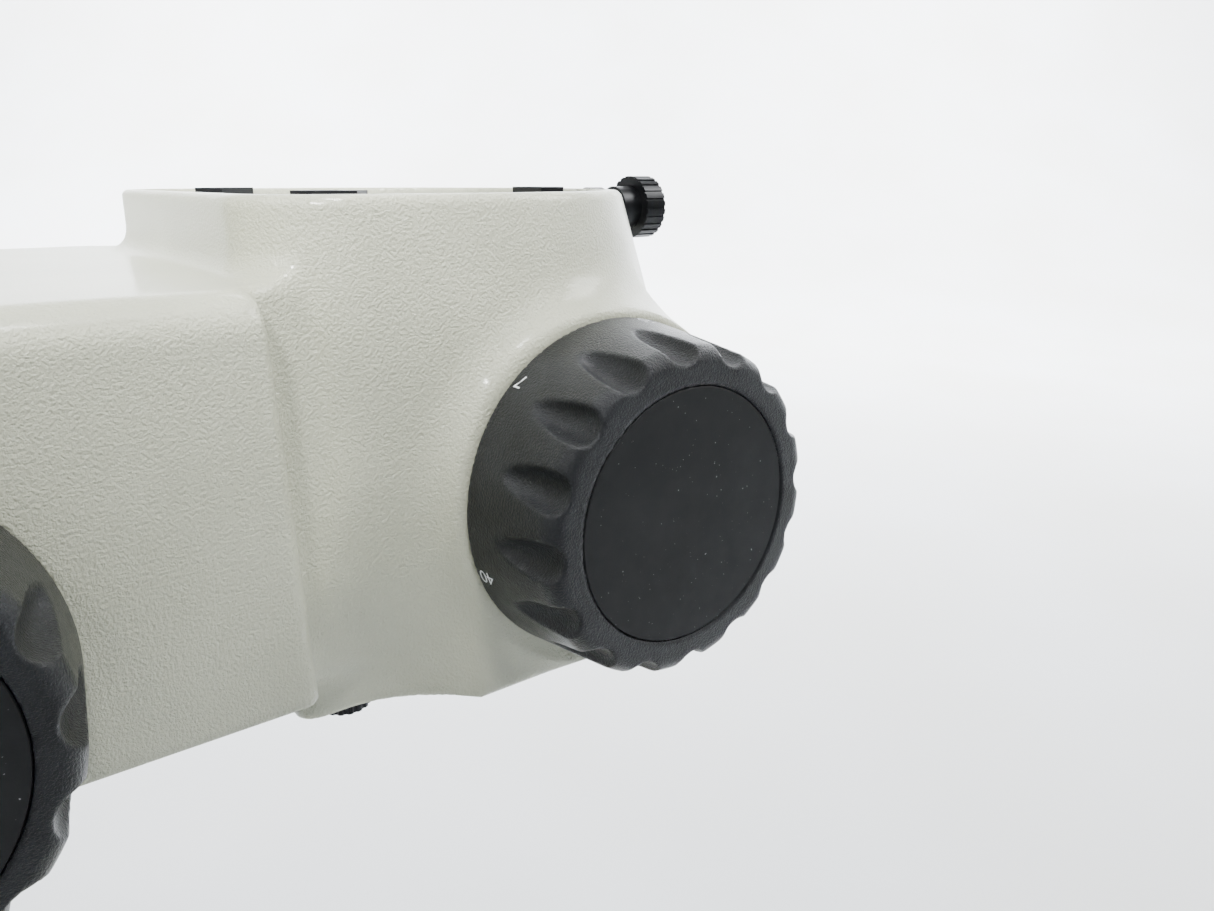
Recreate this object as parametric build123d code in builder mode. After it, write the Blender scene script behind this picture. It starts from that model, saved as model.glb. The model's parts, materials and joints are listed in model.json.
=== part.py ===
from build123d import *
from math import acos, cos, pi, radians, sin, tan
import os

os.makedirs("parts", exist_ok=True)

# Stereo zoom microscope on a pillar stand, binocular head taken off.
# Origin: centre of the stand's footprint, on the bench. +Z is up, the user sits on the -Y side,
# the pillar stands on the +Y side, and the zoom and focus knobs face left and right along X.

# ---- driving dimensions, millimetres ----
base_width = 200
base_depth = 264
base_thick = 22
base_corner = 45
foot_high = 4
foot_radius = 11
base_top = foot_high + base_thick
stage_radius = 47.5
stage_thick = 6

pillar_radius = 16
pillar_y = 92
pillar_top = 352
zoom_y = -66            # zoom knob axis, front to back
knob_z = 280            # zoom knob axis above the bench
optic_y = zoom_y + 14.5
channel_x = 12          # each optical channel from the centre plane
tower_back = zoom_y + 57
tower_top = knob_z + 51.6
tower_low = knob_z - 34
arm_half = 58
arm_top = knob_z + 39.5
arm_low = knob_z - 24
wall = 3.5
side_face = 57.5        # flat boss under each zoom knob, from the centre plane
focus_y = zoom_y + 118.5
focus_z = knob_z - 3
arm_rear = 82

knob_radius = 30.7
knob_deep = 20.7
cap_radius = 22
groove_count = 16       # finger scoops on every large knob
shaft_radius = 3
pinion_shaft_radius = 4
bush_gap = 0.05         # running clearance of every shaft

rack_module = 0.8
pinion_teeth = 15
pinion_pitch = rack_module * pinion_teeth / 2
zoom_module = 0.5
zoom_teeth = 12
zoom_pitch = zoom_module * zoom_teeth / 2
rack_face = focus_y + pinion_pitch      # pitch line of the focus rack
slide_back = 66                         # front face of the carriage, where the dovetail is screwed on
seat_top = tower_top - 7                # floor of the head seat
thumb_z = tower_top - 4.6               # axis of the thumbscrew that closes the seat
left = Vector(-1, 0, 0)
right = Vector(1, 0, 0)


def save(builder, name):
    builder.part.label = name
    export_step(builder.part, "parts/" + name + ".step")


def facing(x, y, z, way):
    """Plane at a point, looking out along `way`, with its own Y axis up."""
    point = Vector(x, y, z)
    across = Vector(0, 0, 1).cross(way)
    return Plane(origin=point, x_dir=across, z_dir=way)


def involute_tooth(module, teeth, thinning):
    """Points of one gear tooth, centred on the local X axis."""
    pitch = module * teeth / 2
    base = pitch * cos(radians(20))
    tip = pitch + 0.8 * module
    root = pitch - 1.15 * module
    involute_at_pitch = tan(radians(20)) - radians(20)
    half_angle = pi / (2 * teeth) * thinning + involute_at_pitch
    flank = []
    for step in range(5):
        radius = max(base, root) + (tip - max(base, root)) * step / 4
        pressure = acos(min(1, base / radius))
        angle = half_angle - (tan(pressure) - pressure)
        flank.append((radius * cos(angle), radius * sin(angle)))
    inner = root - 0.4 * module
    lower = [(x, -y) for x, y in flank]
    foot = (inner, flank[0][1])
    return [(inner, -flank[0][1])] + lower + flank[::-1] + [foot]


def gear(place, module, teeth, face_width, bore):
    """Spur gear along the plane's Z axis, starting at its origin."""
    outline = involute_tooth(module, teeth, 0.84)
    root = module * teeth / 2 - 1.15 * module
    with BuildPart() as wheel:
        with BuildSketch(place):
            Circle(root)
            with PolarLocations(0, teeth):
                with BuildLine():
                    Polyline(*outline, close=True)
                make_face()
            Circle(bore, mode=Mode.SUBTRACT)
        extrude(amount=face_width)
    return wheel


def rack_outline(module, count, back, thinning):
    """Rack profile: teeth stand along +Y at X = 0, body reaches back along -Y."""
    pitch = pi * module
    tip_half = pitch / 4 * thinning - 0.8 * module * tan(radians(20))
    root_half = pitch / 4 * thinning + 1.15 * module * tan(radians(20))
    length = count * pitch
    points = [(-length / 2, -back), (-length / 2, -1.15 * module)]
    for index in range(count):
        middle = (index - (count - 1) / 2) * pitch
        points += [(middle - root_half, -1.15 * module), (middle - tip_half, 0.8 * module)]
        points += [(middle + tip_half, 0.8 * module), (middle + root_half, -1.15 * module)]
    points += [(length / 2, -1.15 * module), (length / 2, -back)]
    return points


# ---- stand: base, feet, stage, pillar ----
foot_places = GridLocations(base_width - 60, base_depth - 60, 2, 2)
clip_places = [(-66, optic_y), (66, optic_y)]

with BuildPart() as base_plate:
    with BuildSketch(Plane.XY.offset(foot_high)):
        RectangleRounded(base_width, base_depth, base_corner)
    extrude(amount=base_thick)
    fillet(base_plate.edges().group_by(Axis.Z)[-1], radius=5)
    with BuildSketch(Plane.XY.offset(foot_high)):
        RectangleRounded(base_width - 16, base_depth - 16, base_corner - 8)
        with Locations((0, optic_y)):
            Circle(stage_radius + 6, mode=Mode.SUBTRACT)
        with Locations((0, pillar_y)):
            Circle(28, mode=Mode.SUBTRACT)
        with foot_places:
            Circle(foot_radius + 3, mode=Mode.SUBTRACT)
    extrude(amount=base_thick - 8, mode=Mode.SUBTRACT)
    with BuildSketch(Plane.XY.offset(base_top - stage_thick)):
        with Locations((0, optic_y)):
            Circle(stage_radius + 0.4)
    extrude(amount=stage_thick, mode=Mode.SUBTRACT)
    with BuildSketch(Plane.XY.offset(base_top)):
        with Locations((0, pillar_y)):
            Circle(5.5)
        with Locations((0, optic_y - stage_radius + 7)):
            Circle(6)
    extrude(amount=-base_thick, mode=Mode.SUBTRACT)
    with BuildSketch(Plane.XY.offset(base_top)):
        with Locations(*clip_places):
            Circle(2.1)
        with Locations((0, pillar_y)):
            with PolarLocations(26, 3, start_angle=90):
                Circle(2.1)
    extrude(amount=-7, mode=Mode.SUBTRACT)
    with BuildSketch(Plane.XY.offset(foot_high)):
        with Locations((0, pillar_y)):
            Circle(10)
    extrude(amount=4, mode=Mode.SUBTRACT)
save(base_plate, "base_plate")

with BuildPart() as base_feet:
    with BuildSketch():
        with foot_places:
            Circle(foot_radius)
    extrude(amount=foot_high)
    chamfer(base_feet.edges().group_by(Axis.Z)[0], length=0.8)
save(base_feet, "base_feet")

with BuildPart() as stage_plate:
    with BuildSketch(Plane.XY.offset(base_top - stage_thick)):
        with Locations((0, optic_y)):
            Circle(stage_radius)
    extrude(amount=stage_thick)
    chamfer(stage_plate.edges(), length=0.5)
save(stage_plate, "stage_plate")


def stage_clip(x, name):
    """Sprung strip on a post: it lies flat on the stage plate and swivels about its screw."""
    side = 1 if x > 0 else -1
    with BuildPart() as clip:
        with BuildSketch(Plane.XZ.offset(-optic_y - 5)) as strip:
            with BuildLine():
                Polyline((x + side * 8, base_top + 3.2), (x - side * 12, base_top + 3.2),
                         (x - side * 34, base_top + 0.4), (x - side * 40, base_top + 2.2),
                         (x - side * 40, base_top + 3.2), (x - side * 34, base_top + 1.4),
                         (x - side * 12, base_top + 4.2), (x + side * 8, base_top + 4.2), close=True)
            make_face()
        extrude(amount=10)
        with BuildSketch(Plane.XY.offset(base_top + 0.3)):
            with Locations((x, optic_y)):
                Circle(4.6)
        extrude(amount=3.5)
        with BuildSketch(Plane.XY.offset(base_top)):
            with Locations((x, optic_y)):
                Circle(2.05)
        extrude(amount=12, mode=Mode.SUBTRACT)
    save(clip, name)


stage_clip(clip_places[0][0], "stage_clip_left")
stage_clip(clip_places[1][0], "stage_clip_right")

with BuildPart() as clip_screws:
    with BuildSketch(Plane.XY.offset(base_top - 6)):
        with Locations(*clip_places):
            Circle(2)
    extrude(amount=10.5)
    with BuildSketch(Plane.XY.offset(base_top + 4.5)):
        with Locations(*clip_places):
            Circle(6)
    extrude(amount=5)
    chamfer(clip_screws.edges().group_by(Axis.Z)[-1], length=0.8)
save(clip_screws, "clip_screws")

with BuildPart() as pillar:
    with BuildSketch(Plane.XY.offset(base_top)):
        with Locations((0, pillar_y)):
            Circle(pillar_radius)
            Circle(pillar_radius - 4, mode=Mode.SUBTRACT)
    extrude(amount=pillar_top - base_top)
    with BuildSketch(Plane.XY.offset(base_top)):
        with Locations((0, pillar_y)):
            Circle(pillar_radius - 2)
            Circle(4.2, mode=Mode.SUBTRACT)
    extrude(amount=20)
save(pillar, "pillar")

with BuildPart() as pillar_cap:
    with BuildSketch(Plane.XY.offset(pillar_top)):
        with Locations((0, pillar_y)):
            Circle(pillar_radius)
    extrude(amount=4)
    fillet(pillar_cap.edges().group_by(Axis.Z)[-1], radius=2)
    with BuildSketch(Plane.XY.offset(pillar_top - 10)):
        with Locations((0, pillar_y)):
            Circle(pillar_radius - 4.1)
    extrude(amount=10)
save(pillar_cap, "pillar_cap")

with BuildPart() as pillar_flange:
    with BuildSketch(Plane.XY.offset(base_top)):
        with Locations((0, pillar_y)):
            Circle(31)
            Circle(pillar_radius + 0.1, mode=Mode.SUBTRACT)
    extrude(amount=8)
    with BuildSketch(Plane.XY.offset(base_top + 8)):
        with Locations((0, pillar_y)):
            Circle(20.5)
            Circle(pillar_radius + 0.1, mode=Mode.SUBTRACT)
    extrude(amount=12)
    chamfer(pillar_flange.edges().group_by(Axis.Z)[-1].sort_by(SortBy.LENGTH)[-1], length=1.5)
    with BuildSketch(Plane.XY.offset(base_top + 8)):
        with Locations((0, pillar_y)):
            with PolarLocations(26, 3, start_angle=90):
                Circle(3.7)
    extrude(amount=-4.5, mode=Mode.SUBTRACT)
    with BuildSketch(Plane.XY.offset(base_top + 8)):
        with Locations((0, pillar_y)):
            with PolarLocations(26, 3, start_angle=90):
                Circle(2.1)
    extrude(amount=-8, mode=Mode.SUBTRACT)
save(pillar_flange, "pillar_flange")

with BuildPart() as flange_screws:
    with BuildSketch(Plane.XY.offset(base_top + 3.5)):
        with Locations((0, pillar_y)):
            with PolarLocations(26, 3, start_angle=90):
                Circle(3.5)
    extrude(amount=4)
    with BuildSketch(Plane.XY.offset(base_top + 7.5)):
        with Locations((0, pillar_y)):
            with PolarLocations(26, 3, start_angle=90):
                RegularPolygon(radius=1.7, side_count=6)
    extrude(amount=-2, mode=Mode.SUBTRACT)
    with BuildSketch(Plane.XY.offset(base_top - 6)):
        with Locations((0, pillar_y)):
            with PolarLocations(26, 3, start_angle=90):
                Circle(2)
    extrude(amount=9.5)
save(flange_screws, "flange_screws")

with BuildPart() as pillar_bolt:
    with BuildSketch(Plane.XY.offset(foot_high + 1)):
        with Locations((0, pillar_y)):
            RegularPolygon(radius=8, side_count=6)
    extrude(amount=3 - 0.1)
    with BuildSketch(Plane.XY.offset(foot_high + 3.9)):
        with Locations((0, pillar_y)):
            Circle(4)
    extrude(amount=36)
save(pillar_bolt, "pillar_bolt")

# ---- safety collar that stops the carriage ----
collar_low = 102
collar_high = 14
collar_screw_radius = 3
collar_face = facing(0, pillar_y + 26, collar_low + collar_high / 2, Vector(0, 1, 0))

with BuildPart() as safety_collar:
    with BuildSketch(Plane.XY.offset(collar_low)):
        with Locations((0, pillar_y)):
            Circle(23)
            Circle(pillar_radius + bush_gap, mode=Mode.SUBTRACT)
    extrude(amount=collar_high)
    chamfer(safety_collar.edges().filter_by(GeomType.CIRCLE).sort_by(SortBy.RADIUS)[-2:], length=1)
    with BuildSketch(collar_face.offset(4)):
        Circle(collar_screw_radius + bush_gap)
    extrude(amount=-20, mode=Mode.SUBTRACT)
save(safety_collar, "safety_collar")

with BuildPart() as collar_screw:
    with BuildSketch(collar_face):
        Circle(9)
        with PolarLocations(9.4, 18):
            Circle(1, mode=Mode.SUBTRACT)
    extrude(amount=9)
    with BuildSketch(collar_face):
        Circle(collar_screw_radius)
    extrude(amount=-9.8)
save(collar_screw, "collar_screw")

# ---- carriage: liner, clamp block, dovetail, rack, clamp screw ----
carriage_low = knob_z - 40
carriage_high = 84
liner_radius = 18
ear_y = pillar_y + 23.5
ear_gap = 4

with BuildPart() as sleeve_liner:
    with BuildSketch(Plane.XY.offset(carriage_low + 1)):
        with Locations((0, pillar_y)):
            Circle(liner_radius)
            Circle(pillar_radius + bush_gap, mode=Mode.SUBTRACT)
    extrude(amount=carriage_high - 2)
save(sleeve_liner, "sleeve_liner")

with BuildPart() as carriage:
    with BuildSketch(Plane.XY.offset(carriage_low)):
        with BuildLine():
            Polyline((-32, slide_back), (32, slide_back), (32, pillar_y + 8), (18, ear_y + 6.5),
                     (-18, ear_y + 6.5), (-32, pillar_y + 8), close=True)
        make_face()
        fillet(vertices(), radius=3)
        with Locations((0, pillar_y)):
            Circle(liner_radius + bush_gap, mode=Mode.SUBTRACT)
        with Locations((0, pillar_y + 25)):
            Rectangle(ear_gap, 20, mode=Mode.SUBTRACT)
    extrude(amount=carriage_high)
    fillet(carriage.edges().group_by(Axis.Z)[-1].filter_by(GeomType.LINE), radius=1.5)
    with BuildSketch(facing(40, ear_y, knob_z, right)):
        Circle(3.2)
    extrude(amount=-72, mode=Mode.SUBTRACT)
save(carriage, "carriage")

slide_face = focus_y + 7.2
slide_low = carriage_low + 2
slide_high = carriage_high - 4
rack_half = 4.2
slide_screw_places = [(-11.5, knob_z - 28), (11.5, knob_z - 28), (-11.5, knob_z + 30), (11.5, knob_z + 30)]
with BuildPart() as dovetail_slide:
    with BuildSketch(Plane.XY.offset(slide_low)):
        with BuildLine():
            Polyline((-20, slide_face), (20, slide_face), (17, slide_back - 0.05),
                     (-17, slide_back - 0.05), close=True)
        make_face()
        with Locations((0, slide_face + 1.45)):
            Rectangle(2 * rack_half, 2.9, mode=Mode.SUBTRACT)
    extrude(amount=slide_high)
    with BuildSketch(Plane.XZ.offset(-slide_face)):
        with Locations(*slide_screw_places):
            Circle(2.6)
    extrude(amount=-2, mode=Mode.SUBTRACT)
save(dovetail_slide, "dovetail_slide")

with BuildPart() as slide_screws:
    with BuildSketch(Plane.XZ.offset(-slide_face - 0.3)):
        with Locations(*slide_screw_places):
            Circle(2.5)
            RegularPolygon(radius=1.2, side_count=6, mode=Mode.SUBTRACT)
    extrude(amount=-1.65)
save(slide_screws, "slide_screws")

rack_plane = Plane(origin=(0, rack_face, focus_z), x_dir=(0, 0, 1), z_dir=(1, 0, 0))
rack_count = 28
with BuildPart() as focus_rack:
    with BuildSketch(rack_plane.offset(-4)):
        with BuildLine():
            Polyline(*rack_outline(rack_module, rack_count, slide_face + 2.85 - rack_face, 0.84), close=True)
        make_face()
    extrude(amount=8)
save(focus_rack, "focus_rack")

clamp_face = facing(34, ear_y, knob_z, right)
with BuildPart() as clamp_screw:
    with BuildSketch(clamp_face):
        Circle(5)
    extrude(amount=6)
    with BuildSketch(clamp_face):
        Circle(3.1)
    extrude(amount=-54)
save(clamp_screw, "clamp_screw")

with BuildPart() as clamp_knob:
    with BuildSketch(clamp_face.offset(6)):
        Circle(12)
        with PolarLocations(15, 7):
            Circle(4.6, mode=Mode.SUBTRACT)
    extrude(amount=14)
    fillet(clamp_knob.edges().group_by(Axis.X)[-1], radius=1.2)
save(clamp_knob, "clamp_knob")

# ---- arm and tower: one painted casting, open below, behind and in the head seat ----
def tower_outline(half, front, inset):
    """Flat-backed outline with a rounded front, closed on the sketch plane."""
    back = tower_back - inset
    side = half - inset
    corner = 16 - inset
    Line((corner - side, back), (side - corner, back))
    turn = corner * (1 - cos(pi / 4))
    ThreePointArc((side - corner, back), (side - turn, back - turn), (side, back - corner))
    Line((side, back - corner), (side, optic_y))
    EllipticalCenterArc((0, optic_y), side, optic_y - front - inset, start_angle=180, arc_size=180)
    Line((-side, optic_y), (-side, back - corner))
    ThreePointArc((-side, back - corner), (turn - side, back - turn), (corner - side, back))


tower_sections = [(tower_low, 55, zoom_y - 44), (knob_z + 5, 54, zoom_y - 41), (tower_top, 51, zoom_y - 33)]
arm_front = tower_back - 30
with BuildPart() as body_shell:
    for height, half, front in tower_sections:
        with BuildSketch(Plane.XY.offset(height)):
            with BuildLine():
                tower_outline(half, front, 0)
            make_face()
    loft(ruled=True)
    with BuildSketch(Plane.XY.offset(arm_low)):
        with BuildLine():
            Polyline((-arm_half, tower_back), (-46, arm_front), (46, arm_front), (arm_half, tower_back),
                     (arm_half, arm_rear), (-arm_half, arm_rear), close=True)
        make_face()
    extrude(amount=arm_top - arm_low)
    arm_edges = body_shell.edges().filter_by(Axis.Y).filter_by_position(Axis.Y, 0, arm_rear)
    fillet(arm_edges.group_by(Axis.Z)[-1], radius=7)
    for way in (left, right):
        with BuildSketch(facing(way.X * 44, zoom_y, knob_z, way)):
            Circle(44)
        with BuildSketch(facing(way.X * side_face, zoom_y, knob_z, way)):
            Circle(31.4)
        loft()
    with BuildSketch(Plane.XY.offset(tower_low - 40)):
        Rectangle(300, 500)
    extrude(amount=40, mode=Mode.SUBTRACT)
    for height, half, front in tower_sections:
        with BuildSketch(Plane.XY.offset(height)):
            with BuildLine():
                tower_outline(half, front, wall)
            make_face()
    loft(ruled=True, mode=Mode.SUBTRACT)
    with BuildSketch(Plane.XY.offset(arm_low)):
        with Locations((0, (tower_back - 8 + arm_rear + 5) / 2)):
            Rectangle(2 * (arm_half - wall), arm_rear + 5 - tower_back + 8)
    extrude(amount=arm_top - arm_low - wall, mode=Mode.SUBTRACT)
    with BuildSketch(Plane.XY.offset(arm_low - 1)):
        with Locations((0, 72)):
            Rectangle(2 * (arm_half - wall), 30)
    extrude(amount=arm_top - arm_low + 2, mode=Mode.SUBTRACT)
    with BuildSketch(Plane.YZ.offset(-80)):
        with Locations((zoom_y, knob_z)):
            Circle(6)
        with Locations((focus_y, focus_z)):
            Circle(7)
    extrude(amount=160, mode=Mode.SUBTRACT)
    with BuildSketch(Plane.XZ.offset(-optic_y)):
        with Locations((0, thumb_z)):
            Circle(2.6)
    extrude(amount=60, mode=Mode.SUBTRACT)
save(body_shell, "body_shell")

cover_front = tower_back + 4.2
cover_back = 56
arm_screw_places = [(-47, cover_front + 8), (47, cover_front + 8), (-47, 36), (47, 36)]
tower_screw_places = [(-43, optic_y - 8), (43, optic_y - 8), (-43, optic_y + 24), (43, optic_y + 24)]
with BuildPart() as arm_cover:
    with BuildSketch(Plane.XY.offset(arm_low + 0.5)):
        with Locations((0, (cover_front + cover_back) / 2)):
            Rectangle(2 * (arm_half - wall) - 0.4, cover_back - cover_front)
        with Locations(*arm_screw_places):
            Circle(1.7, mode=Mode.SUBTRACT)
    extrude(amount=2)
save(arm_cover, "arm_cover")

with BuildPart() as tower_cover:
    with BuildSketch(Plane.XY.offset(tower_low + 1)):
        with BuildLine():
            tower_outline(tower_sections[0][1], tower_sections[0][2], wall + 0.4)
        make_face()
        with Locations((0, optic_y)):
            Circle(30.1, mode=Mode.SUBTRACT)
        with Locations(*tower_screw_places):
            Circle(1.7, mode=Mode.SUBTRACT)
    extrude(amount=2.5)
    split(bisect_by=Plane.XZ.offset(-(tower_back - 8.2)), keep=Keep.TOP)
save(tower_cover, "tower_cover")

with BuildPart() as cover_screws:
    with BuildSketch(Plane.XY.offset(arm_low - 1.3)):
        with Locations(*arm_screw_places):
            Circle(2.8)
            RegularPolygon(radius=1.3, side_count=6, mode=Mode.SUBTRACT)
    extrude(amount=1.75)
    with BuildSketch(Plane.XY.offset(arm_low + 0.5)):
        with Locations(*arm_screw_places):
            Circle(1.6)
    extrude(amount=8)
    with BuildSketch(Plane.XY.offset(tower_low - 0.8)):
        with Locations(*tower_screw_places):
            Circle(2.8)
            RegularPolygon(radius=1.3, side_count=6, mode=Mode.SUBTRACT)
    extrude(amount=1.75)
    with BuildSketch(Plane.XY.offset(tower_low + 1)):
        with Locations(*tower_screw_places):
            Circle(1.6)
    extrude(amount=8)
save(cover_screws, "cover_screws")

# black thumb screw under the tower's left back corner, which clamps the objective ring
ring_screw_place = (-37, tower_back - 11)
with BuildPart() as ring_screw:
    with BuildSketch(Plane.XY.offset(tower_low - 4)):
        with Locations(ring_screw_place):
            Circle(4.5)
            with PolarLocations(4.8, 16):
                Circle(0.6, mode=Mode.SUBTRACT)
    extrude(amount=5)
save(ring_screw, "ring_screw")

# ---- objective: mount ring, retaining ring, front lens ----
with BuildPart() as objective_ring:
    with BuildSketch(Plane.XY.offset(tower_low - 5)):
        with Locations((0, optic_y)):
            Circle(33)
            Circle(26, mode=Mode.SUBTRACT)
    extrude(amount=6)
    with BuildSketch(Plane.XY.offset(tower_low + 1)):
        with Locations((0, optic_y)):
            Circle(30)
            Circle(26, mode=Mode.SUBTRACT)
    extrude(amount=4)
    with BuildSketch(Plane.XY.offset(tower_low + 3)):
        with Locations((0, optic_y)):
            Circle(26)
            Circle(22, mode=Mode.SUBTRACT)
    extrude(amount=2)
    chamfer(objective_ring.edges().group_by(Axis.Z)[0], length=0.6)
save(objective_ring, "objective_ring")

with BuildPart() as objective_lens:
    with BuildSketch(Plane.XY.offset(tower_low - 1.2)):
        with Locations((0, optic_y)):
            Circle(25.8)
    extrude(amount=4.1)
    chamfer(objective_lens.edges().filter_by(GeomType.CIRCLE), length=0.5)
save(objective_lens, "objective_lens")

with BuildPart() as lens_retainer:
    with BuildSketch(Plane.XY.offset(tower_low - 4.5)):
        with Locations((0, optic_y)):
            Circle(25.8)
            Circle(23.5, mode=Mode.SUBTRACT)
            with PolarLocations(25, 2):
                Rectangle(3, 2, mode=Mode.SUBTRACT)
    extrude(amount=3.2)
save(lens_retainer, "lens_retainer")

# ---- head seat: plate, jaws, thumbscrew ----
seat_radius = 34.5
with BuildPart() as seat_plate:
    with BuildSketch(Plane.XY.offset(seat_top - 4)):
        with BuildLine():
            tower_outline(tower_sections[2][1], tower_sections[2][2], wall + 0.4)
        make_face()
        with Locations((0, optic_y)):
            Circle(24, mode=Mode.SUBTRACT)
        with Locations((-29, optic_y), (29, optic_y)):
            Circle(2.1, mode=Mode.SUBTRACT)
    extrude(amount=4)
save(seat_plate, "seat_plate")

jaw_deep = 6.4      # along the radius
jaw_places = []
for angle in (38.5, 180 - 38.5):
    reach = seat_radius + jaw_deep / 2
    middle = Vector(reach * cos(radians(angle)), optic_y + reach * sin(radians(angle)))
    jaw_places.append(Location(middle, (0, 0, angle)))

with BuildPart() as fixed_jaws:
    with BuildSketch(Plane.XY.offset(seat_top)):
        with Locations(*jaw_places):
            Rectangle(jaw_deep, 11)
            Circle(1.6, mode=Mode.SUBTRACT)
    extrude(amount=tower_top - 0.2 - seat_top)
save(fixed_jaws, "fixed_jaws")

with BuildPart() as jaw_screws:
    with BuildSketch(Plane.XY.offset(seat_top)):
        with Locations(*jaw_places):
            Circle(1.5)
            RegularPolygon(radius=0.8, side_count=6, mode=Mode.SUBTRACT)
    extrude(amount=tower_top - 0.8 - seat_top)
save(jaw_screws, "jaw_screws")

with BuildPart() as sliding_jaw:
    with BuildSketch(Plane.XY.offset(seat_top + 0.1)):
        with Locations((0, optic_y - seat_radius - 3)):
            Rectangle(12, 6)
    extrude(amount=tower_top - 0.3 - seat_top)
    with BuildSketch(Plane.XZ.offset(-(optic_y - seat_radius - 3))):
        with Locations((0, thumb_z)):
            Circle(1.55)
    extrude(amount=4, mode=Mode.SUBTRACT)
save(sliding_jaw, "sliding_jaw")

with BuildPart() as screw_bush:
    with BuildSketch(Plane.XZ.offset(-(zoom_y - 41))):
        with Locations((0, thumb_z)):
            Circle(4.8)
    extrude(amount=-4)
    with BuildSketch(Plane.XZ.offset(-(zoom_y - 37))):
        with Locations((0, thumb_z)):
            Circle(2.55)
    extrude(amount=-7)
    with BuildSketch(Plane.XZ.offset(-(zoom_y - 41))):
        with Locations((0, thumb_z)):
            Circle(1.5 + bush_gap)
    extrude(amount=-12, mode=Mode.SUBTRACT)
save(screw_bush, "screw_bush")

with BuildPart() as thumb_spindle:
    with BuildSketch(Plane.XZ.offset(-(optic_y - seat_radius - 3.4))):
        with Locations((0, thumb_z)):
            Circle(1.5)
    extrude(amount=26)
save(thumb_spindle, "thumb_spindle")

with BuildPart() as thumb_head:
    with BuildSketch(Plane.XZ.offset(-(zoom_y - 50))):
        with Locations((0, thumb_z)):
            Circle(7.4)
            with PolarLocations(7.7, 24):
                Rectangle(1.2, 0.7, mode=Mode.SUBTRACT)
    extrude(amount=6)
    chamfer(thumb_head.faces().sort_by(Axis.Y)[0].edges(), length=0.4)
    with BuildSketch(Plane.XZ.offset(-(zoom_y - 45))):
        with Locations((0, thumb_z)):
            Circle(5)
    extrude(amount=5)
    with BuildSketch(Plane.XZ.offset(-(zoom_y - 44))):
        with Locations((0, thumb_z)):
            Circle(1.5)
    extrude(amount=6, mode=Mode.SUBTRACT)
save(thumb_head, "thumb_head")

# ---- zoom optics: rods, carriers, lenses, pinion ----
rod_x = 29
with BuildPart() as guide_rods:
    with BuildSketch(Plane.XY.offset(tower_low + 5.2)):
        with Locations((-rod_x, optic_y), (rod_x, optic_y)):
            Circle(2)
    extrude(amount=seat_top - tower_low - 5.4)
save(guide_rods, "guide_rods")

with BuildPart() as tube_lens_plate:
    with BuildSketch(Plane.XY.offset(seat_top - 9)):
        with Locations((0, optic_y)):
            Rectangle(70, 28)
        with Locations((-channel_x, optic_y), (channel_x, optic_y)):
            Circle(9, mode=Mode.SUBTRACT)
        with Locations((-rod_x, optic_y), (rod_x, optic_y)):
            Circle(2 + bush_gap, mode=Mode.SUBTRACT)
    extrude(amount=4.8)
save(tube_lens_plate, "tube_lens_plate")


def lens_pair(low, radius, thick, name):
    """Two round lenses, one in each optical channel."""
    with BuildPart() as lenses:
        with BuildSketch(Plane.XY.offset(low)):
            with Locations((-channel_x, optic_y), (channel_x, optic_y)):
                Circle(radius)
        extrude(amount=thick)
        chamfer(lenses.edges().filter_by(GeomType.CIRCLE), length=0.5)
    save(lenses, name)


lens_pair(seat_top - 8.4, 8.95, 3.6, "tube_lenses")


def carrier(low, high, front, slot_y, rack_y, rack_low, rack_way, name):
    """Lens carrier on the rods: plate, two cells and a toothed strip for the zoom pinion."""
    with BuildPart() as body:
        with BuildSketch(Plane.XY.offset(low)):
            with Locations((0, (front + optic_y + 9) / 2)):
                Rectangle(70, optic_y + 9 - front)
            with Locations((-channel_x, optic_y), (channel_x, optic_y)):
                Circle(7, mode=Mode.SUBTRACT)
            with Locations((-rod_x, optic_y), (rod_x, optic_y)):
                Circle(2 + bush_gap, mode=Mode.SUBTRACT)
            if slot_y:
                with Locations((0, slot_y)):
                    Rectangle(10, 6, mode=Mode.SUBTRACT)
        extrude(amount=high - low)
        outline = rack_outline(zoom_module, 20, 2.4, 0.8)
        strip_plane = Plane(origin=(-3, rack_y, rack_low + 10 * pi * zoom_module), x_dir=(0, 0, 1),
                            z_dir=(1, 0, 0))
        if rack_way > 0:
            strip_plane = Plane(origin=(3, rack_y, rack_low + 10 * pi * zoom_module), x_dir=(0, 0, 1),
                                z_dir=(-1, 0, 0))
        with BuildSketch(strip_plane):
            with BuildLine():
                Polyline(*outline, close=True)
            make_face()
        extrude(amount=6)
    save(body, name)


zoom_rack_pitch = pi * zoom_module
carrier(knob_z + 12, knob_z + 20, zoom_y - 5.4, zoom_y + 4.1, zoom_y - zoom_pitch,
        knob_z - 11 * zoom_rack_pitch, 1, "upper_carrier")
carrier(knob_z - 14, knob_z - 6.5, zoom_y + 2.6, 0, zoom_y + zoom_pitch,
        knob_z - 9 * zoom_rack_pitch, -1, "lower_carrier")
lens_pair(knob_z + 13, 6.95, 5, "upper_lenses")
lens_pair(knob_z - 13, 6.95, 5, "lower_lenses")

zoom_pinion = gear(Plane(origin=(-3.5, zoom_y, knob_z), x_dir=(0, 1, 0), z_dir=(1, 0, 0)),
                   zoom_module, zoom_teeth, 7, 1.6)
save(zoom_pinion, "zoom_pinion")

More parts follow.
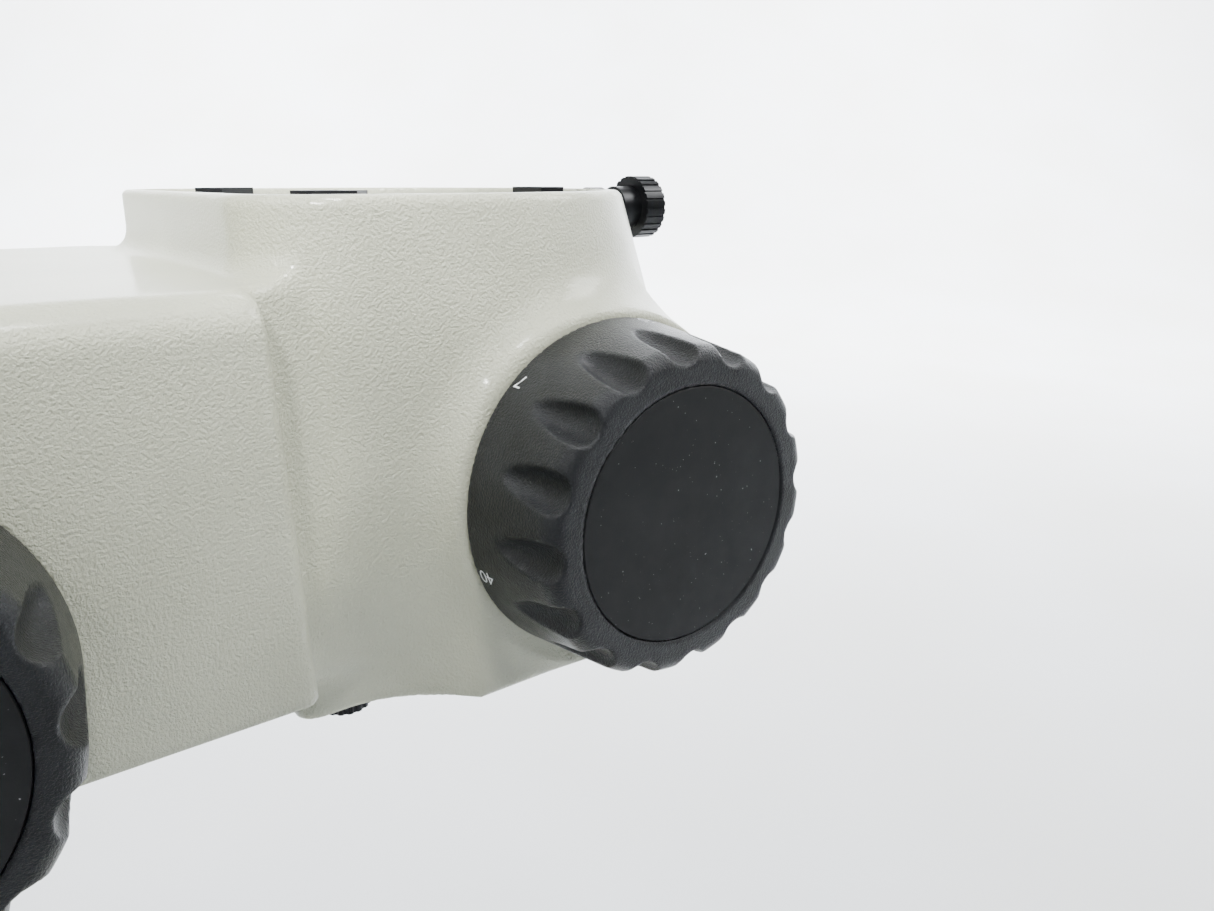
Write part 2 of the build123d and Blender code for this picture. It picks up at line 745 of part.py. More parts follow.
# ---- knobs and their shafts ----
def shaft(y, z, radius, reach, name, waist):
    """Rod along X, turned down to the waist radius where a pinion sits, or plain if that is 0."""
    with BuildPart() as rod:
        with BuildSketch(Plane.YZ.offset(-reach)):
            with Locations((y, z)):
                Circle(radius)
        extrude(amount=2 * reach)
        if waist:
            with BuildSketch(Plane.YZ.offset(-5)):
                with Locations((y, z)):
                    Circle(radius + 1)
                    Circle(waist, mode=Mode.SUBTRACT)
            extrude(amount=10, mode=Mode.SUBTRACT)
    save(rod, name)


zoom_base = 57.8
focus_base = 59.5
shaft(zoom_y, knob_z, shaft_radius, zoom_base + 18.2, "zoom_shaft", 1.55)
shaft(focus_y, focus_z, pinion_shaft_radius, focus_base + 17.2, "pinion_shaft", 0)

focus_pinion = gear(Plane(origin=(-4.5, focus_y, focus_z), x_dir=(0, 1, 0), z_dir=(1, 0, 0)),
                    rack_module, pinion_teeth, 9, pinion_shaft_radius + 0.01)
save(focus_pinion, "focus_pinion")


def bushes(y, z, low, high, outer, bore, flange, name):
    """A pair of plain bearings mirrored about the centre plane, with a flange on the outer side."""
    with BuildPart() as pair:
        for side in (-1, 1):
            with BuildSketch(Plane.YZ.offset(side * low)):
                with Locations((y, z)):
                    Circle(outer)
                    Circle(bore, mode=Mode.SUBTRACT)
            extrude(amount=side * (high - low))
            if flange > outer:
                with BuildSketch(Plane.YZ.offset(side * high)):
                    with Locations((y, z)):
                        Circle(flange)
                        Circle(bore, mode=Mode.SUBTRACT)
                extrude(amount=-side * (high - arm_half - 0.05))
    save(pair, name)


bushes(zoom_y, knob_z, 51.2, 57.5, 5.95, shaft_radius + bush_gap, 0, "zoom_bushes")
bushes(focus_y, focus_z, arm_half - wall - 0.05, focus_base - 0.25, 6.95, pinion_shaft_radius + bush_gap, 9,
       "pinion_bushes")

with BuildPart() as scoop:
    with BuildSketch(Plane.XY):
        Ellipse(9.5, 4.4)
        with Locations((0, -5)):
            Rectangle(20, 10, mode=Mode.SUBTRACT)
    revolve(axis=Axis.X)


def knob(way, base_x, y, z, radius, deep, face, phase, bore, name):
    """Scalloped hollow knob: tapered skirt, rounded shoulder, shallow recess for the cap."""
    place = facing(way.X * base_x, y, z, way)
    profile_plane = Plane(origin=place.origin, x_dir=Vector(0, 0, 1), z_dir=Vector(0, way.X, 0))
    spread = radius / knob_radius
    with BuildPart() as body:
        with BuildSketch(profile_plane):
            with BuildLine():
                Polyline((bore, 1), (8, 1), (8, deep - 7), (26 * spread, deep - 7), (28 * spread, 0), (radius, 0),
                         (28.6 * spread, deep - 3.6))
                ThreePointArc((28.6 * spread, deep - 3.6), (27.6 * spread, deep - 1), (25 * spread, deep))
                Polyline((25 * spread, deep), (face + 0.15, deep), (face + 0.15, deep - 1.6), (bore, deep - 1.6),
                         (bore, 1))
            make_face()
        revolve(axis=Axis(place.origin, way))
        for index in range(groove_count):
            turn = phase + index * 360 / groove_count
            dip = Location((29.7 * spread, 0, deep - 4.2), (0, -105, 0))
            spot = place.location * Location((0, 0, 0), (0, 0, turn)) * dip
            add(scoop.part.moved(spot), mode=Mode.SUBTRACT)
    save(body, name)


def cap(way, base_x, y, z, deep, face, name):
    """Thin disc that lies in the knob's recess, a little below its rim."""
    place = facing(way.X * (base_x + deep - 1.55), y, z, way)
    with BuildPart() as disc:
        with BuildSketch(place):
            Circle(face)
        extrude(amount=1.4)
        chamfer(disc.edges().sort_by(Axis.X)[0 if way.X < 0 else -1], length=0.2)
    save(disc, name)


focus_radius = 31.2
focus_deep = 19.8
focus_cap = 23.4
for way, side in ((left, "left"), (right, "right")):
    knob(way, zoom_base, zoom_y, knob_z, knob_radius, knob_deep, cap_radius, 93.4, shaft_radius + 0.02,
         "zoom_knob_" + side)
    cap(way, zoom_base, zoom_y, knob_z, knob_deep, cap_radius, "zoom_cap_" + side)
    knob(way, focus_base, focus_y, focus_z, focus_radius, focus_deep, focus_cap, 0, pinion_shaft_radius + 0.02,
         "focus_knob_" + side)
    cap(way, focus_base, focus_y, focus_z, focus_deep, focus_cap, "focus_cap_" + side)

# ---- dovetail gibs in the arm ----
with BuildPart() as slide_guides:
    for side in (-1, 1):
        with BuildSketch(Plane.XY.offset(arm_low + 3)):
            with BuildLine():
                Polyline((side * 20.2, 57.2), (side * (arm_half - wall - 0.1), 57.2),
                         (side * (arm_half - wall - 0.1), 65.4), (side * 17.5, 65.4), (side * 20.2, slide_face),
                         close=True)
            make_face()
        extrude(amount=arm_top - arm_low - 6)
save(slide_guides, "slide_guides")
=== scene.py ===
import json
import math
import bpy
import numpy as np
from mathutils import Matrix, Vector


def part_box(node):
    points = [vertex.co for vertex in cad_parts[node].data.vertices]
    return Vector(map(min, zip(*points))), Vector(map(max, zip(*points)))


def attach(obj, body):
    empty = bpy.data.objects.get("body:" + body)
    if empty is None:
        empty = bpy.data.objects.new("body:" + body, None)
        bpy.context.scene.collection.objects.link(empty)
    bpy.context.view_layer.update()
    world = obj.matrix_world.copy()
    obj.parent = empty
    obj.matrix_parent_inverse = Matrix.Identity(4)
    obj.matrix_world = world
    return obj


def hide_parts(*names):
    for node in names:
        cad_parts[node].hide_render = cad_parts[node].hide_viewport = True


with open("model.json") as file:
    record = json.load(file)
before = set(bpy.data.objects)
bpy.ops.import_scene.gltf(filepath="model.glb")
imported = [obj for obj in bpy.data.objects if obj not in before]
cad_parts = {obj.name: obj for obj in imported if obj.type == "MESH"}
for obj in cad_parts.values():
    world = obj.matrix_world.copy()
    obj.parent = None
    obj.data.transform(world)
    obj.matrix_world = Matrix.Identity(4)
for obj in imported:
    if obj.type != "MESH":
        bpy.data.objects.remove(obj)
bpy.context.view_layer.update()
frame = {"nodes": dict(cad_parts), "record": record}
scene = bpy.context.scene
nodes = frame["nodes"]
mm = 0.001


def boxMiddle(name):
    low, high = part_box(name)
    return (Vector(low) + Vector(high)) / 2


# where the moving parts sit, in millimetres, taken from the frame
zoomY, zoomZ = (boxMiddle("zoom_knob_left")[i] / mm for i in (1, 2))
focusY, focusZ = (boxMiddle("focus_knob_left")[i] / mm for i in (1, 2))
shellLow, shellHigh = (Vector(corner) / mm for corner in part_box("body_shell"))
thumbZ = boxMiddle("thumb_head")[2] / mm
opticY = boxMiddle("objective_ring")[1] / mm
print("frame loaded, zoom axis at", round(zoomY, 2), round(zoomZ, 2))


# colours are given as sRGB hex, and the shader wants them linear
def hexColour(code):
    parts = [int(code[i:i + 2], 16) / 255 for i in (1, 3, 5)]
    return [c / 12.92 if c <= 0.04045 else ((c + 0.055) / 1.055) ** 2.4 for c in parts] + [1.0]


# a pattern's scale in the shader, from the real size of its lumps
def scaleFor(sizeMm):
    return 1 / (sizeMm * mm)


# inputs are values or other nodes' outputs, links are what the outputs feed, stops are a ramp's two ends
def addNode(tree, kind, inputs=None, links=None, stops=(), **settings):
    node = tree.nodes.new(kind)
    for name, value in settings.items():
        setattr(node, name, value)
    for socket, value in (inputs or {}).items():
        if isinstance(value, bpy.types.NodeSocket):
            tree.links.new(value, node.inputs[socket])
        else:
            node.inputs[socket].default_value = value
    for socket, target in (links or {}).items():
        tree.links.new(node.outputs[socket], target)
    for stop, (position, colour) in zip(node.color_ramp.elements if stops else (), stops):
        stop.position = position
        stop.color = colour
    return node


def newMaterial(name, **sockets):
    material = bpy.data.materials.new(name)
    material.use_nodes = True
    tree = material.node_tree
    shader = tree.nodes["Principled BSDF"]
    for socket, value in sockets.items():
        shader.inputs[socket.replace("_", " ")].default_value = value
    place = addNode(tree, "ShaderNodeTexCoord").outputs["Object"]
    return material, tree, shader, place


enamelLook = {
    "colour": "#c6c8b2", "shade": "#bcbea8",
    "cloudMm": 26,           # patches where the coat is a little thicker
    "waveMm": 1.8, "waveDeep": 0.06,
    "grainMm": 0.5, "grainDeep": 0.42,   # orange peel, coarser than life so that it shows
    "roughness": 0.33, "coat": 0.4, "coatRoughness": 0.14,
}


def texturedEnamel():
    # stoved enamel over an aluminium casting: a cool cream with an orange peel that breaks up the light
    look = enamelLook
    material, tree, shader, place = newMaterial("texturedEnamel", Roughness=look["roughness"],
                                                Specular_IOR_Level=0.5, Coat_Weight=look["coat"],
                                                Coat_Roughness=look["coatRoughness"])
    cloud = addNode(tree, "ShaderNodeTexNoise", {"Vector": place, "Detail": 3,
                                                 "Scale": scaleFor(look["cloudMm"])})
    addNode(tree, "ShaderNodeValToRGB", {"Fac": cloud.outputs["Fac"]}, {"Color": shader.inputs["Base Color"]},
            stops=((0.35, hexColour(look["shade"])), (0.68, hexColour(look["colour"]))))
    wave = addNode(tree, "ShaderNodeTexNoise", {"Vector": place, "Detail": 2,
                                                "Scale": scaleFor(look["waveMm"])})
    waved = addNode(tree, "ShaderNodeBump", {"Height": wave.outputs["Fac"], "Strength": 0.6,
                                             "Distance": look["waveDeep"] * mm})
    peel = addNode(tree, "ShaderNodeTexNoise", {"Vector": place, "Detail": 2, "Roughness": 0.6,
                                                "Scale": scaleFor(look["grainMm"])})
    addNode(tree, "ShaderNodeBump", {"Height": peel.outputs["Fac"], "Strength": 0.9,
                                     "Normal": waved.outputs["Normal"], "Distance": look["grainDeep"] * mm},
            {"Normal": shader.inputs["Normal"]})
    return material


plasticLook = {
    # spark-eroded mould: satin black ABS with a fine grit on the grips
    "mouldedAbs": {"colour": "#191b1d", "worn": "#212326", "sparkMm": 0.35, "sparkDeep": 0.32,
                   "roughness": 0.30, "shine": 0.32},
    # smoother moulding of the flat caps: matt black with a little dust
    "capAbs": {"colour": "#191a1b", "worn": "#1f2021", "sparkMm": 0.4, "sparkDeep": 0.014,
               "roughness": 0.5, "shine": 0.25, "dust": "#6c6e70"},
    # pressed white melamine of the stage plate: smooth, with a soft shine
    "stageMelamine": {"colour": "#dcdcd8", "worn": "#e4e4e0", "sparkMm": 0.6, "sparkDeep": 0.01,
                      "roughness": 0.3, "shine": 0.5},
}


def mouldedPlastic(name):
    look = plasticLook[name]
    material, tree, shader, place = newMaterial(name, Roughness=look["roughness"],
                                                Specular_IOR_Level=look["shine"])
    rub = addNode(tree, "ShaderNodeTexNoise", {"Vector": place, "Scale": scaleFor(9), "Detail": 3})
    handled = addNode(tree, "ShaderNodeValToRGB", {"Fac": rub.outputs["Fac"]},
                      stops=((0.4, hexColour(look["colour"])), (0.7, hexColour(look["worn"]))))
    colour = handled.outputs["Color"]
    if "dust" in look:
        # specks half a millimetre apart, only the highest lumps of the noise
        specks = addNode(tree, "ShaderNodeTexNoise", {"Vector": place, "Scale": scaleFor(0.5), "Detail": 1})
        fleck = addNode(tree, "ShaderNodeMapRange", {"Value": specks.outputs["Fac"], "From Min": 0.76,
                                                     "From Max": 0.8})
        dusted = addNode(tree, "ShaderNodeMix", {"Factor": fleck.outputs["Result"], "A": colour,
                                                 "B": hexColour(look["dust"])}, data_type="RGBA")
        colour = dusted.outputs["Result"]
    tree.links.new(colour, shader.inputs["Base Color"])
    smears = addNode(tree, "ShaderNodeTexNoise", {"Vector": place, "Scale": scaleFor(3), "Detail": 3})
    addNode(tree, "ShaderNodeMapRange", {"Value": smears.outputs["Fac"], "To Min": look["roughness"] - 0.05,
                                         "To Max": look["roughness"] + 0.09},
            {"Result": shader.inputs["Roughness"]})
    grit = addNode(tree, "ShaderNodeTexNoise", {"Vector": place, "Detail": 2, "Roughness": 0.7,
                                                "Scale": scaleFor(look["sparkMm"])})
    addNode(tree, "ShaderNodeBump", {"Height": grit.outputs["Fac"], "Distance": look["sparkDeep"] * mm,
                                     "Strength": 0.8}, {"Normal": shader.inputs["Normal"]})
    return material


# lineMm sets the tool's rings, drawn about six times as far apart, so that they show
metalLook = {
    # dark and slightly oily
    "blackOxideSteel": {"colour": "#1a1b1e", "roughness": 0.38, "lineMm": 0.5, "metallic": 0.55},
    # ground bar, a soft grey shine
    "brightSteel": {"colour": "#b4b5b8", "roughness": 0.28, "lineMm": 0.4, "metallic": 1.0},
    # mirror-bright
    "chromedSteel": {"colour": "#c9cbce", "roughness": 0.09, "lineMm": 0.9, "metallic": 1.0},
    # warm yellow
    "turnedBrass": {"colour": "#c9a559", "roughness": 0.3, "lineMm": 0.4, "metallic": 1.0},
    # pale and matt
    "anodisedAluminium": {"colour": "#a9acae", "roughness": 0.42, "lineMm": 0.5, "metallic": 1.0},
}
ringDeep = 0.006


def turnedMetal(name):
    # turned or ground bar: rings left by the tool round the part's upright axis
    look = metalLook[name]
    material, tree, shader, place = newMaterial(name, Roughness=look["roughness"], Metallic=look["metallic"])
    bright = hexColour(look["colour"])
    dull = [c * 0.86 for c in bright[:3]] + [1]
    stain = addNode(tree, "ShaderNodeTexNoise", {"Vector": place, "Scale": scaleFor(7), "Detail": 3})
    addNode(tree, "ShaderNodeValToRGB", {"Fac": stain.outputs["Fac"]}, {"Color": shader.inputs["Base Color"]},
            stops=((0.3, bright), (0.7, dull)))
    rings = addNode(tree, "ShaderNodeTexWave", {"Vector": place, "Scale": scaleFor(look["lineMm"]) / 20,
                                                "Distortion": 1.5, "Detail": 2.0}, bands_direction="Z")
    addNode(tree, "ShaderNodeBump", {"Height": rings.outputs["Fac"], "Distance": ringDeep * mm,
                                     "Strength": 0.5}, {"Normal": shader.inputs["Normal"]})
    return material


rubberLook = {"colour": "#141414", "dusty": "#242422", "roughness": 0.8, "grainMm": 0.8, "grainDeep": 0.05}


def softRubber():
    # moulded rubber foot: dull black, a little dusty
    look = rubberLook
    material, tree, shader, place = newMaterial("softRubber", Roughness=look["roughness"])
    dust = addNode(tree, "ShaderNodeTexNoise", {"Vector": place, "Scale": scaleFor(4), "Detail": 3})
    addNode(tree, "ShaderNodeValToRGB", {"Fac": dust.outputs["Fac"]}, {"Color": shader.inputs["Base Color"]},
            stops=((0.35, hexColour(look["colour"])), (0.7, hexColour(look["dusty"]))))
    pores = addNode(tree, "ShaderNodeTexNoise", {"Vector": place, "Detail": 2,
                                                 "Scale": scaleFor(look["grainMm"])})
    addNode(tree, "ShaderNodeBump", {"Height": pores.outputs["Fac"], "Distance": look["grainDeep"] * mm,
                                     "Strength": 0.7}, {"Normal": shader.inputs["Normal"]})
    return material


glassLook = {"deep": "#10151c", "sheen": "#1a2130", "coat": "#8f7fd0", "roughness": 0.03, "ior": 1.52}


def coatedGlass():
    # polished crown glass with a magnesium fluoride coat: dark inside, a violet cast where it shines
    look = glassLook
    material, tree, shader, place = newMaterial("coatedGlass", Roughness=look["roughness"], IOR=look["ior"],
                                                Coat_Weight=1.0, Coat_Roughness=0.02,
                                                Coat_Tint=hexColour(look["coat"]))
    depth = addNode(tree, "ShaderNodeTexNoise", {"Vector": place, "Scale": scaleFor(12), "Detail": 1})
    addNode(tree, "ShaderNodeValToRGB", {"Fac": depth.outputs["Fac"]}, {"Color": shader.inputs["Base Color"]},
            stops=((0.3, hexColour(look["deep"])), (0.7, hexColour(look["sheen"]))))
    return material


inkLook = {"thin": "#c9cccf", "full": "#eceff0", "roughness": 0.55}


def printedInk():
    # pad-printed white figures, slightly uneven
    look = inkLook
    material, tree, shader, place = newMaterial("printedInk", Roughness=look["roughness"])
    cover = addNode(tree, "ShaderNodeTexNoise", {"Vector": place, "Scale": scaleFor(0.6), "Detail": 2})
    addNode(tree, "ShaderNodeValToRGB", {"Fac": cover.outputs["Fac"]}, {"Color": shader.inputs["Base Color"]},
            stops=((0.3, hexColour(look["thin"])), (0.6, hexColour(look["full"]))))
    return material


enamel = texturedEnamel()
knobAbs = mouldedPlastic("mouldedAbs")
capAbs = mouldedPlastic("capAbs")
blackOxide = turnedMetal("blackOxideSteel")
ink = printedInk()
finishes = {
    "painted_casting": enamel, "black_moulded": knobAbs, "blackened_steel": blackOxide,
    "steel": turnedMetal("brightSteel"), "chromed_steel": turnedMetal("chromedSteel"),
    "brass": turnedMetal("turnedBrass"), "aluminium": turnedMetal("anodisedAluminium"),
    "rubber": softRubber(), "stage_white": mouldedPlastic("stageMelamine"), "optical_glass": coatedGlass(),
}
slotOf = {part["node"]: part["material_slot"] for part in frame["record"]["subparts"]}
for name, piece in nodes.items():
    piece.data.materials.clear()
    isKnobCap = "_cap_" in name
    piece.data.materials.append(capAbs if isKnobCap else finishes[slotOf[name]])
print("materials made")


# a solid is a function that is negative inside it, in millimetres; this joins two with a fillet
def smoothMin(a, b, blendMm):
    h = np.clip(0.5 + 0.5 * (b - a) / blendMm, 0, 1)
    return b * (1 - h) + a * h - blendMm * h * (1 - h)


# inside both, with the corner between them rounded
def roundMax(a, b, radius):
    atCorner = np.hypot(np.maximum(radius + a, 0), np.maximum(radius + b, 0))
    return np.minimum(-radius, np.maximum(a, b)) + atCorner


def smoothStep(value, start, end):
    t = np.clip((value - start) / (end - start), 0, 1)
    return t * t * (3 - 2 * t)


# quads on the zero level of field, one point in each cell that it crosses
def surfaceNet(field, low, high, step):
    axes = [np.arange(a, b + step, step) for a, b in zip(low, high)]
    value = field(*np.meshgrid(*axes, indexing="ij"))
    shape = np.array(value.shape) - 1
    total = np.zeros((*shape, 3))
    count = np.zeros(shape)
    quads = []
    for axis in range(3):
        first = np.moveaxis(value, axis, 0)
        a, b = first[:-1], first[1:]
        crossed = (a < 0) != (b < 0)
        along = np.where(crossed, a / np.where(crossed, a - b, 1), 0)
        others = [i for i in range(3) if i != axis]
        movedTotal = np.moveaxis(total, axis, 0)
        movedCount = np.moveaxis(count, axis, 0)
        for u in (0, 1):
            for v in (0, 1):
                part = (slice(None), slice(u, u + shape[others[0]]), slice(v, v + shape[others[1]]))
                hit = crossed[part]
                movedCount += hit
                movedTotal[..., axis] += hit * along[part]
                movedTotal[..., others[0]] += hit * u
                movedTotal[..., others[1]] += hit * v
        quads.append((axis, others, np.argwhere(crossed[:, 1:-1, 1:-1]), a))
    used = count > 0
    number = np.full(shape, -1)
    number[used] = np.arange(used.sum())
    points = (np.argwhere(used) + total[used] / count[used][:, None]) * step + np.array(low)
    faces = []
    for axis, others, cells, a in quads:
        corner = cells + np.array([0, 1, 1])
        outward = a[corner[:, 0], corner[:, 1], corner[:, 2]] < 0
        ring = []
        for u, v in ((1, 1), (0, 1), (0, 0), (1, 0)):
            index = np.zeros_like(corner)
            index[:, axis] = corner[:, 0]
            index[:, others[0]] = corner[:, 1] - u
            index[:, others[1]] = corner[:, 2] - v
            ring.append(number[index[:, 0], index[:, 1], index[:, 2]])
        face = np.stack(ring, 1)
        flip = outward if axis == 1 else ~outward
        face[flip] = face[flip][:, ::-1]
        faces.append(face)
    # pull each point onto the surface along the slope, never further than most of a cell
    reachMm, tries, tiny, farthest = 0.01, 4, 0.2, 0.6 * step
    for _ in range(tries):
        here = field(*points.T)
        slope = np.stack([(field(*(points + nudge).T) - field(*(points - nudge).T)) / (2 * reachMm)
                          for nudge in np.eye(3) * reachMm], 1)
        shift = slope * (here / np.maximum((slope ** 2).sum(1), tiny))[:, None]
        points -= np.clip(shift, -farthest, farthest)
    return points * mm, np.concatenate(faces)


def meshPiece(name, points, faces, material, body):
    mesh = bpy.data.meshes.new(name)
    mesh.vertices.add(len(points))
    mesh.vertices.foreach_set("co", np.asarray(points, dtype=np.float32).ravel())
    mesh.loops.add(faces.size)
    mesh.loops.foreach_set("vertex_index", np.asarray(faces, dtype=np.int32).ravel())
    mesh.polygons.add(len(faces))
    mesh.polygons.foreach_set("loop_start", np.arange(0, faces.size, faces.shape[1], dtype=np.int32))
    mesh.update(calc_edges=True)
    mesh.validate()
    mesh.polygons.foreach_set("use_smooth", [True] * len(mesh.polygons))
    mesh.materials.append(material)
    piece = bpy.data.objects.new(name, mesh)
    scene.collection.objects.link(piece)
    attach(piece, body)
    return piece


castingLook = {
    # everything here in millimetres
    "wall": 3.2,
    "rimRound": 1.3, "lowRound": 1.1,         # outer edge of the head seat's rim, and the bottom edge
    "backCorner": 17, "lowCorner": 4,         # tower's rear corners, at the top and at the bottom
    "sideTop": 51, "sideLow": 55, "frontTop": 33, "frontLow": 46,
    "flareHigh": 56.6, "flareBelow": 5,       # height that the sides draw in over, and how far below the axis
    "valley": 51,                             # half width where the side dips behind the knob
    "footOut": 57.3, "footIn": 46,            # half width along the bottom edge, before and behind its corner
    "bossRadius": 31.8, "bossFace": 57.5, "bossStart": 45, "bossSlope": 0.34, "bossEdge": 0.8, "bossBlend": 6,
    "knobGap": 1.2,                           # how much wider than the boss the knob's cleared room is
    "armHalf": 58, "armEdge": 6, "armLowEdge": 1.2, "armBlend": 5, "armTip": 17,
    "armWall": 3.5, "slotFrom": 57, "passageHalf": 38,
    "shaftBore": 6, "focusBore": 7, "thumbBore": 2.7,
    "gridMm": 1.0,
}
towerBack = zoomY + 57
towerTop = shellHigh.z
towerLow = shellLow.z
armTop = zoomZ + 39.5
armLow = zoomZ - 24
armRear = shellHigh.y


# the tower's upright wall, with no top or bottom
def towerOutline(x, y, z):
    look = castingLook
    rise = np.clip((z - zoomZ + look["flareBelow"]) / look["flareHigh"], 0, 1) ** 1.5
    half = look["sideLow"] + (look["sideTop"] - look["sideLow"]) * rise
    front = zoomY - look["frontLow"] + (look["frontLow"] - look["frontTop"]) * rise
    behind = y - zoomY
    # behind the knob the side dips to the valley, and below it runs out to a foot with a corner
    dip = look["valley"] + 4 * (1 - np.clip((behind - 25) / 25, 0, 1)) ** 2
    foot = look["footIn"] + (look["footOut"] - look["footIn"]) * (1 - np.clip((behind - 29) / 20, 0, 1)) ** 2
    width = dip + (foot - dip) * smoothStep(zoomZ - z, 6, 36)
    width = width + (half - width) * smoothStep(z - zoomZ, 12, 42)
    side = np.abs(x) * half / width
    wall = np.hypot(side, np.minimum(y - front - half, 0)) - half
    corner = look["lowCorner"] + (look["backCorner"] - look["lowCorner"]) * smoothStep(z - zoomZ, -20, 25)
    return roundMax(wall, y - towerBack, corner)


def armSolid(x, y, z):
    look = castingLook
    ax = np.abs(x)
    # the front leans a little, and inside the side walls it reaches into the tower
    front = towerBack - 0.2 + 0.035 * (z - armLow) - look["armTip"] * smoothStep(52 - ax, 0, 8)
    solid = roundMax(ax - look["armHalf"], z - armTop, look["armEdge"])
    solid = roundMax(solid, armLow - z, look["armLowEdge"])
    solid = roundMax(solid, front - y, 2.6)
    return roundMax(solid, y - armRear, 3)


def castingField(x, y, z):
    look = castingLook
    ax = np.abs(x)
    outline = towerOutline(x, y, z)
    tower = roundMax(outline, z - towerTop, look["rimRound"])
    # the boss behind the zoom knob is a cone that widens inwards
    fromAxis = np.hypot(y - zoomY, z - zoomZ)
    beyond = fromAxis - look["bossRadius"] - (look["bossFace"] - ax) * look["bossSlope"]
    cone = beyond / 1.056
    boss = np.maximum(roundMax(cone, ax - look["bossFace"], look["bossEdge"]), look["bossStart"] - ax)
    solid = smoothMin(tower, boss, look["bossBlend"])
    solid = smoothMin(solid, armSolid(x, y, z), look["armBlend"])
    solid = roundMax(solid, towerLow - z, look["lowRound"])
    knobRing = np.maximum(fromAxis - look["bossRadius"] - look["knobGap"], look["bossFace"] - ax)
    solid = roundMax(solid, -knobRing, 0.7)
    # the tower and the arm are hollow, with a passage between them and a slot for the slide at the rear
    inner = outline + look["wall"]
    armInside = ax - look["armHalf"] + look["armWall"]
    underTop = z - armTop + look["armWall"]
    armRoom = np.maximum(np.maximum(armInside, underTop), towerBack + 4 - y)
    passage = np.maximum(np.maximum(ax - look["passageHalf"], underTop), np.abs(y - towerBack) - 8)
    slot = np.maximum(armInside, look["slotFrom"] - y)
    hollow = np.minimum(np.minimum(inner, passage), np.minimum(armRoom, slot))
    solid = np.maximum(solid, -hollow)
    solid = np.maximum(solid, -np.maximum(fromAxis - look["shaftBore"], 40 - ax))
    fromFocus = np.hypot(y - focusY, z - focusZ)
    solid = np.maximum(solid, -np.maximum(fromFocus - look["focusBore"], 50 - ax))
    return np.maximum(solid, -np.maximum(np.hypot(x, z - thumbZ) - look["thumbBore"], y - opticY))


margin = Vector((2.5, 2.5, 2.5))
points, faces = surfaceNet(castingField, shellLow - margin, shellHigh + margin, castingLook["gridMm"])
casting = meshPiece("arm_casting", points, faces, enamel, "arm")
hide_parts("body_shell")
print("casting:", len(points), "points")


knobLook = {
    "zoomRadius": 30.7, "focusRadius": 31.2, "zoomPhase": 93.4, "focusPhase": 0,
    "zoomCap": 22, "focusCap": 23.4,     # radius of the flat caps
    "capGap": 0.12, "capDeep": 1.6,
    "taper": 2.1,                        # how much the skirt narrows towards the cap
    "scoops": 16, "scoopLong": 11.4, "scoopWide": 3.55, "scoopDeep": 3.6,
    "scoopOut": 29.6, "scoopIn": 2.6, "scoopTilt": 10, "scoopSpread": 0.16,
    "shoulder": 2.8, "edge": 0.3, "bore": 4.2,
    "cupOuter": 25.5, "cupInner": 8, "cupFloor": 7,
    "gridMm": 0.5,
}


# one knob with its axis along z, base at z = 0 and cap side at z = deep
def knobField(radius, deep, face, phase):
    look = knobLook
    spread = radius / look["zoomRadius"]

    def field(x, y, z):
        r = np.hypot(x, y)
        skirt = (r - radius + look["taper"] * spread * np.clip(z / (deep - 3), 0, 1.1)) / 1.006
        solid = roundMax(skirt, z - deep, look["shoulder"])
        solid = roundMax(solid, -z, look["edge"])
        # one scoop is an egg shape leaning into the shoulder, and folding the angle repeats it all round
        turn = np.arctan2(y, x) - math.radians(phase)
        pitch = 2 * math.pi / look["scoops"]
        turn = (turn + pitch / 2) % pitch - pitch / 2
        sideways = r * np.sin(turn)
        outward = r * np.cos(turn) - look["scoopOut"] * spread
        up = z - deep + look["scoopIn"]
        lean = math.radians(look["scoopTilt"])
        along = up * math.cos(lean) - outward * math.sin(lean)
        across = outward * math.cos(lean) + up * math.sin(lean)
        taper = look["scoopWide"] * (1 + look["scoopSpread"] * np.clip(along / look["scoopLong"], -1, 1))
        reach = np.sqrt((along / look["scoopLong"]) ** 2 + (across / look["scoopDeep"]) ** 2
                        + (sideways / taper) ** 2)
        scoop = (reach - 1) * look["scoopWide"]
        solid = roundMax(solid, -scoop, look["edge"])
        recess = np.maximum(r - face - look["capGap"], deep - look["capDeep"] - z)
        cup = np.maximum(r - look["cupOuter"] * spread, look["cupInner"] - r)
        hollow = np.maximum(cup, z - deep + look["cupFloor"])
        solid = np.maximum(solid, -np.minimum(recess, hollow))
        return np.maximum(solid, look["bore"] - r)
    return field


# turns the shared mesh to face way, with its base on the node's base plane
def placeKnob(mesh, node, body, way):
    low, high = (Vector(corner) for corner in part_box(node))
    middle = (low + high) / 2
    base = high.x if way < 0 else low.x
    turn = np.array(((0, 0, way), (way, 0, 0), (0, 1, 0)))
    points, faces = mesh
    placed = points @ turn.T + np.array((base, middle.y, middle.z))
    piece = meshPiece(node + "_moulding", placed, faces, knobAbs, body)
    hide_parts(node)
    return piece


